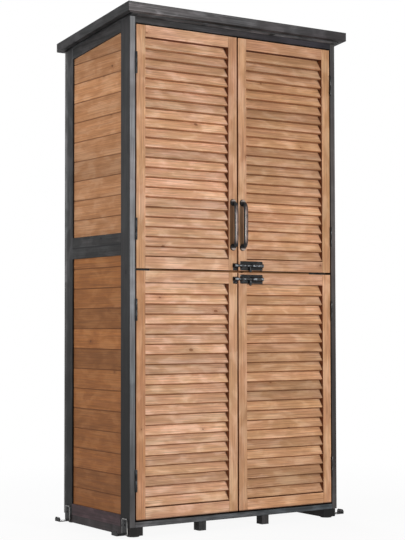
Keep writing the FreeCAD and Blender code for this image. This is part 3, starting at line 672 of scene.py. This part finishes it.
# Mesh pieces
def piece(name, mesh_maker, material, body, replaced=(), sharp=38.0):
    data = bpy.data.meshes.new(name)
    bm = bmesh.new()
    mesh_maker(bm)
    bmesh.ops.remove_doubles(bm, verts=bm.verts, dist=0.005 * MM)
    bmesh.ops.recalc_face_normals(bm, faces=bm.faces)
    bm.to_mesh(data)
    bm.free()
    data.materials.append(material)
    data.shade_smooth()
    data.set_sharp_from_angle(angle=math.radians(sharp))
    thing = bpy.data.objects.new(name, data)
    bpy.context.scene.collection.objects.link(thing)
    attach(thing, body)
    if replaced:
        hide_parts(*replaced)


def in_mm(profile):
    return [(a * MM, b * MM) for a, b in profile]


def skin(bm, rings):
    """Faces between neighbouring rings, where a ring of one point is a pole."""
    count = max(len(ring) for ring in rings)
    for low, high in zip(rings, rings[1:]):
        for index in range(count):
            after = (index + 1) % count
            if len(low) == 1:
                bm.faces.new((low[0], high[after], high[index]))
            elif len(high) == 1:
                bm.faces.new((low[index], low[after], high[0]))
            else:
                bm.faces.new((low[index], low[after], high[after], high[index]))


def basis(out):
    """Two directions square to out and to each other, and out itself."""
    out = Vector(out).normalized()
    side = out.cross(Vector(Z))
    if side.length < 0.1:
        side = out.cross(Vector(Y))
    side.normalize()
    return side, side.cross(out).normalized(), out


def lathe(bm, profile, centre, out, segments, dent=None):
    """A turned form. profile lists (radius, height) along out; dent lowers points inside it."""
    side, up, out = basis(out)
    centre = Vector(centre)
    rings = []
    for radius, height in profile:
        ring = []
        for index in range(segments if radius else 1):
            angle = 2 * math.pi * index / segments
            u = radius * math.cos(angle)
            v = radius * math.sin(angle)
            drop = dent(u, v) if dent and radius else 0.0
            ring.append(bm.verts.new(centre + side * u + up * v + out * (height - drop)))
        rings.append(ring)
    skin(bm, rings)


def screw(bm, centre, out, radius):
    """A domed screw head with a cross recess."""
    def cross(u, v):
        arm = 0.17 * radius
        reach = 0.58 * radius
        inside = (abs(u) < arm and abs(v) < reach) or (abs(v) < arm and abs(u) < reach)
        return 0.26 * radius if inside else 0.0

    steps = 12
    profile = [(radius, 0.0)]
    for step in range(steps + 1):
        t = 1.0 - step / steps
        profile.append((radius * t, radius * (0.10 + 0.42 * math.sqrt(1.0 - t ** 2))))
    lathe(bm, profile, centre, out, 36, cross)


def sweep(bm, path, section):
    """A bar. path lists (point, width way, depth way); section gives the outline at a share of it."""
    last = len(path) - 1
    rings = []
    for index, (point, across, outwards) in enumerate(path):
        outline = section(index / last)
        rings.append([bm.verts.new(point + across * u + outwards * v) for u, v in outline])
    skin(bm, rings)
    bm.faces.new(rings[0])
    bm.faces.new(list(reversed(rings[-1])))


def on_front(x, z, depth):
    """A point that stands out from the doors' faces by depth."""
    return Vector((x, FRONT - depth, z))


def rounded(low, high, radius):
    """The outline of a box seen from the front, with round corners."""
    corners = [(high.x - radius, high.z - radius), (low.x + radius, high.z - radius),
               (low.x + radius, low.z + radius), (high.x - radius, low.z + radius)]
    steps = 5
    outline = []
    for turn, (x, z) in enumerate(corners):
        for step in range(steps + 1):
            angle = math.pi / 2 * (turn + step / steps)
            outline.append((x + radius * math.cos(angle), z + radius * math.sin(angle)))
    return outline


def plate(bm, outline):
    """A plate on a door's face, with an eased edge."""
    ease = 0.4 * MM
    centre = [sum(c) / len(outline) for c in zip(*outline)]
    stations = [(0.0, 0.0), (PLATE_THICKNESS - ease, 0.0), (PLATE_THICKNESS - ease * 0.3, ease * 0.3),
                (PLATE_THICKNESS, ease)]
    rings = []
    for depth, inset in stations:
        ring = []
        for x, z in outline:
            away = (x - centre[0], z - centre[1])
            k = 1.0 - inset / math.hypot(*away)
            ring.append(bm.verts.new(on_front(centre[0] + away[0] * k, centre[1] + away[1] * k, depth)))
        rings.append(ring)
    skin(bm, rings)
    bm.faces.new(list(reversed(rings[0])))
    bm.faces.new(rings[-1])


# Handles: a bowed bar between two domed feet
def handle_path(x, centre):
    reach = 71.0 * MM
    bow = 19.4 * MM
    power = 2 / 4.4
    steps = 56
    points = []
    for step in range(steps + 1):
        angle = math.pi * (0.035 + 0.93 * step / steps)
        c = math.cos(angle)
        z = centre + reach * math.copysign(abs(c) ** power, c)
        points.append(on_front(x, z, bow * math.sin(angle) ** power))
    across = Vector(X)
    path = []
    for index, point in enumerate(points):
        tangent = points[min(steps, index + 1)] - points[max(0, index - 1)]
        path.append((point, across, tangent.cross(across).normalized()))
    return path


def handle_section(share):
    """An oval, narrower and thinner towards the ends of the bar."""
    bulk = 1.0 - abs(2 * share - 1) ** 3
    half_width = (5.6 + 2.4 * bulk) * MM
    half_depth = (2.8 + 0.6 * bulk) * MM
    count = 24
    angles = [2 * math.pi * index / count for index in range(count)]
    return [(half_width * math.cos(a), half_depth * math.sin(a)) for a in angles]


def handle_mesh(x, centre):
    foot_reach = 70.5 * MM
    dome = in_mm([(0.0, 0.2), (11.0, 0.2), (11.0, 1.3), (10.7, 2.5), (10.0, 4.0), (8.8, 5.6), (7.1, 7.0),
                  (5.0, 8.1), (2.6, 8.8), (0.0, 9.0)])

    def make(bm):
        sweep(bm, handle_path(x, centre), handle_section)
        for sign in (-1, 1):
            lathe(bm, dome, on_front(x, centre + sign * foot_reach, 0.0), FORWARD, 40)
    return make


def add_handles():
    for side in ("left", "right"):
        x = middle(side + "_handle")[0]
        piece(side + "_pull_handle", handle_mesh(x, PULL_HEIGHT), pull_black,
              "upper_%s_door" % side, (side + "_handle",), 50.0)


# Barrel bolts and keepers
def arch(bm, x0, x1, z, inner, outer, flange):
    """A strap over the bolt from x0 to x1, with eased ends and with flanges on the plate."""
    plate_top = PLATE_THICKNESS
    plate_low = 0.6 * MM
    turn_in = 0.8 * MM
    ease = 0.5 * MM
    steps = 14
    angles = [math.pi * step / steps for step in range(steps + 1)]
    over = [(-flange, plate_top), (-outer - turn_in, plate_top + 0.4 * MM)]
    over += [(-outer * math.cos(a), BOLT_AXIS + outer * math.sin(a)) for a in angles]
    over += [(outer + turn_in, plate_top + 0.4 * MM), (flange, plate_top)]
    under = [(flange, plate_low), (inner + turn_in, plate_low)]
    under += [(inner * math.cos(a), BOLT_AXIS + inner * math.sin(a)) for a in angles]
    under += [(-inner - turn_in, plate_low), (-flange, plate_low)]
    rings = []
    for x, grow in ((x0, -ease), (x0 + ease, 0.0), (x1 - ease, 0.0), (x1, -ease)):
        ring = []
        for v, depth in over:
            out = depth - BOLT_AXIS
            k = 1.0 + grow / math.hypot(v, out)
            ring.append(bm.verts.new(on_front(x, z + v * k, BOLT_AXIS + out * k)))
        ring += [bm.verts.new(on_front(x, z + v, depth)) for v, depth in under]
        rings.append(ring)
    skin(bm, rings)
    count = len(over) + len(under)
    for ring in (rings[0], rings[-1]):
        for index in range(len(over) - 1):
            bm.faces.new((ring[index], ring[index + 1], ring[count - 2 - index], ring[count - 1 - index]))


def bolt_plate_mesh(low, high):
    z = (low.z + high.z) / 2
    screw_places = (low.x + 12.5 * MM, low.x + 36.0 * MM, high.x - 5.0 * MM, low.x + 60.0 * MM)

    def make(bm):
        plate(bm, rounded(low, high, 3.0 * MM))
        # The front strap, the barrel and a bead round each end of the barrel
        arch(bm, low.x + 0.3 * MM, low.x + 7.0 * MM, z, 4.5 * MM, 6.0 * MM, 9.0 * MM)
        arch(bm, low.x + 41.5 * MM, low.x + 84.5 * MM, z, 4.5 * MM, 6.4 * MM, 9.6 * MM)
        for x in (low.x + 43.5 * MM, low.x + 82.0 * MM):
            arch(bm, x, x + 1.4 * MM, z, 5.6 * MM, 6.9 * MM, 9.8 * MM)
        for x in screw_places:
            for side in (-1, 1):
                screw(bm, on_front(x, z + side * 11.3 * MM, PLATE_THICKNESS), FORWARD, 2.3 * MM)
    return make


def bolt_mesh(low, high, z):
    length = (high.x - low.x) / MM
    shaft = in_mm([(0.0, 0.0), (2.4, 0.1), (3.4, 0.6), (3.9, 1.5), (4.0, 2.6), (4.0, length - 1.2),
                   (3.6, length - 0.3), (2.6, length), (0.0, length)])
    knob = in_mm([(0.0, 1.0), (2.7, 1.0), (2.5, 8.0), (2.6, 11.5), (3.3, 13.4), (4.0, 15.2), (4.2, 17.2),
                  (3.7, 19.4), (2.4, 20.7), (0.0, 21.0)])
    collar = in_mm([(0.0, -3.0), (4.5, -3.0), (4.7, -2.4), (4.7, 2.4), (4.5, 3.0), (0.0, 3.0)])
    knob_place = on_front(low.x + 45.5 * MM, z, BOLT_AXIS)

    def make(bm):
        lathe(bm, shaft, on_front(low.x, z, BOLT_AXIS), X, 32)
        lathe(bm, knob, knob_place, DOWNWARD, 28)
        lathe(bm, collar, knob_place, X, 28)
    return make


def keeper_mesh(low, high, z):
    def make(bm):
        plate(bm, rounded(low, high, 2.5 * MM))
        arch(bm, low.x + 0.2 * MM, high.x - 0.2 * MM, z, 4.9 * MM, 6.5 * MM, 6.7 * MM)
        for x in (low.x + 4.0 * MM, high.x - 4.0 * MM):
            screw(bm, on_front(x, low.z + 4.3 * MM, PLATE_THICKNESS), FORWARD, 2.1 * MM)
    return make


def add_latches():
    for level in ("upper", "lower"):
        low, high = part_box(level + "_bolt_plate")
        z = (low.z + high.z) / 2
        piece(level + "_latch_plate", bolt_plate_mesh(low, high), latch_black,
              level + "_right_door", (level + "_bolt_plate",))
        low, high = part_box(level + "_bolt")
        piece(level + "_latch_bolt", bolt_mesh(low, high, z), latch_black,
              level + "_barrel_bolt", (level + "_bolt",))
        low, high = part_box(level + "_keeper")
        piece(level + "_latch_keeper", keeper_mesh(low, high, z), latch_black,
              level + "_left_door", (level + "_keeper",))


# Small fastenings that the solids leave out
def add_bracket_screws():
    washer = in_mm([(0.0, 0.0), (4.2, 0.0), (4.2, 0.7), (3.9, 0.9), (0.0, 0.9)])

    def make(bm):
        for sign in (-1, 1):
            outward = (sign, 0.0, 0.0)
            x = sign * (POST_FACE + BRACKET_THICKNESS)
            for y in (BRACKET_MIDDLE - BRACKET_SPREAD, BRACKET_MIDDLE + BRACKET_SPREAD):
                for z in (36.0 * MM, 47.0 * MM):
                    lathe(bm, washer, (x, y, z), outward, 28)
                    screw(bm, (x + sign * 0.8 * MM, y, z), outward, 3.0 * MM)
    piece("bracket_screws", make, screw_black, "carcase")


def add_felt_nails():
    low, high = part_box("roof_felt")
    up = Vector((0.0, ROOF_SLOPE, 1.0)).normalized()
    head = in_mm([(0.0, -0.4), (4.4, -0.4), (4.6, 0.1), (4.2, 0.5), (2.4, 0.9), (0.0, 1.0)])
    inset = 11.0 * MM
    bays_across = 9
    bays_deep = 6

    def make(bm):
        places = []
        for index in range(bays_across + 1):
            x = low.x + inset + (high.x - low.x - 2 * inset) * index / bays_across
            places += [(x, low.y + inset), (x, high.y - inset)]
        for index in range(1, bays_deep):
            y = low.y + inset + (high.y - low.y - 2 * inset) * index / bays_deep
            places += [(low.x + inset, y), (high.x - inset, y)]
        for x, y in places:
            lathe(bm, head, (x, y, high.z - ROOF_SLOPE * (y - low.y)), up, 20)
    piece("felt_nails", make, zinc(), "carcase")


add_handles()
add_latches()
add_bracket_screws()
add_felt_nails()


# Camera, floor and light
def add_camera():
    place = (-2.4818, -3.7264, 0.6341)
    pan = -0.587094
    rise = 0.0395758
    lean = -0.0016855
    data = bpy.data.cameras.new("camera")
    data.sensor_width = 36.0
    data.lens = 91.349
    data.clip_start = 0.05
    data.clip_end = 60.0
    camera = bpy.data.objects.new("camera", data)
    turn = Matrix.Rotation(pan, 4, "Z") @ Matrix.Rotation(math.pi / 2 + rise, 4, "X")
    camera.matrix_world = Matrix.Translation(place) @ turn @ Matrix.Rotation(lean, 4, "Z")
    bpy.context.scene.collection.objects.link(camera)
    bpy.context.scene.camera = camera


def shown_rays(tree):
    """1 for rays from the camera, and for those that gloss or glass sends on."""
    ray = tree.nodes.new("ShaderNodeLightPath")
    shown = ray.outputs["Is Camera Ray"]
    for kind in ("Is Glossy Ray", "Is Transmission Ray"):
        either = tree.nodes.new("ShaderNodeMath")
        either.operation = "MAXIMUM"
        tree.links.new(shown, either.inputs[0])
        tree.links.new(ray.outputs[kind], either.inputs[1])
        shown = either.outputs[0]
    return shown


def add_floor():
    """A pale floor that fades into plain white away from the cabinet."""
    s = Surface("floor")
    shader = s.shader
    shader.inputs["Base Color"].default_value = (0.86, 0.86, 0.86, 1.0)
    shader.inputs["Roughness"].default_value = 0.9
    shader.inputs["Specular IOR Level"].default_value = 0.1
    glow = s.add("ShaderNodeEmission")
    glow.inputs["Color"].default_value = (1.0, 1.0, 1.0, 1.0)
    glow.inputs["Strength"].default_value = 1.0
    far = s.ramp(s.vector("LENGTH", s.position), 0.75, 2.2, 0.92, 1.0, smooth=True)
    mixer = s.add("ShaderNodeMixShader")
    s.feed(mixer.inputs[0], s.math("MULTIPLY", shown_rays(s.tree), far))
    s.tree.links.new(shader.outputs[0], mixer.inputs[1])
    s.tree.links.new(glow.outputs[0], mixer.inputs[2])
    s.tree.links.new(mixer.outputs[0], s.tree.nodes["Material Output"].inputs["Surface"])
    data = bpy.data.meshes.new("floor")
    size = 12.0
    corners = [(-size, -size, 0.0), (size, -size, 0.0), (size, size, 0.0), (-size, size, 0.0)]
    data.from_pydata(corners, [], [(0, 1, 2, 3)])
    data.materials.append(s.material)
    floor = bpy.data.objects.new("floor", data)
    bpy.context.scene.collection.objects.link(floor)


def add_world():
    """A white background, and a weaker sky that lights the cabinet."""
    world = bpy.data.worlds.new("world")
    world.use_nodes = True
    bpy.context.scene.world = world
    tree = world.node_tree
    lit = tree.nodes["Background"]
    lit.inputs["Color"].default_value = (0.93, 0.96, 1.0, 1.0)
    lit.inputs["Strength"].default_value = 0.22
    shown = tree.nodes.new("ShaderNodeBackground")
    shown.inputs["Color"].default_value = (1.0, 1.0, 1.0, 1.0)
    shown.inputs["Strength"].default_value = 1.0
    mixer = tree.nodes.new("ShaderNodeMixShader")
    tree.links.new(shown_rays(tree), mixer.inputs[0])
    tree.links.new(lit.outputs[0], mixer.inputs[1])
    tree.links.new(shown.outputs[0], mixer.inputs[2])
    tree.links.new(mixer.outputs[0], tree.nodes["World Output"].inputs["Surface"])


def add_lamp(name, place, target, size, power, colour=(1.0, 1.0, 1.0)):
    data = bpy.data.lights.new(name, "AREA")
    data.shape = "RECTANGLE"
    data.size = size
    data.size_y = size
    data.energy = power
    data.color = colour
    lamp = bpy.data.objects.new(name, data)
    aim = (Vector(target) - Vector(place)).to_track_quat("-Z", "Y")
    lamp.matrix_world = Matrix.Translation(place) @ aim.to_matrix().to_4x4()
    bpy.context.scene.collection.objects.link(lamp)


add_camera()
add_floor()
add_world()
add_lamp("key", (1.0, -4.8, 1.15), (0.0, -0.2, 0.8), 0.55, 170.0, (1.0, 0.99, 0.97))
add_lamp("side", (-4.6, 0.5, 1.5), (0.0, 0.0, 0.8), 1.4, 102.0, (0.98, 0.99, 1.0))
add_lamp("back", (1.6, 4.6, 2.2), (0.0, 0.2, 0.8), 1.6, 110.0)
add_lamp("top", (0.3, 0.4, 4.6), (0.0, 0.1, 1.6), 1.6, 40.0)
bpy.context.scene.view_settings.view_transform = "Standard"
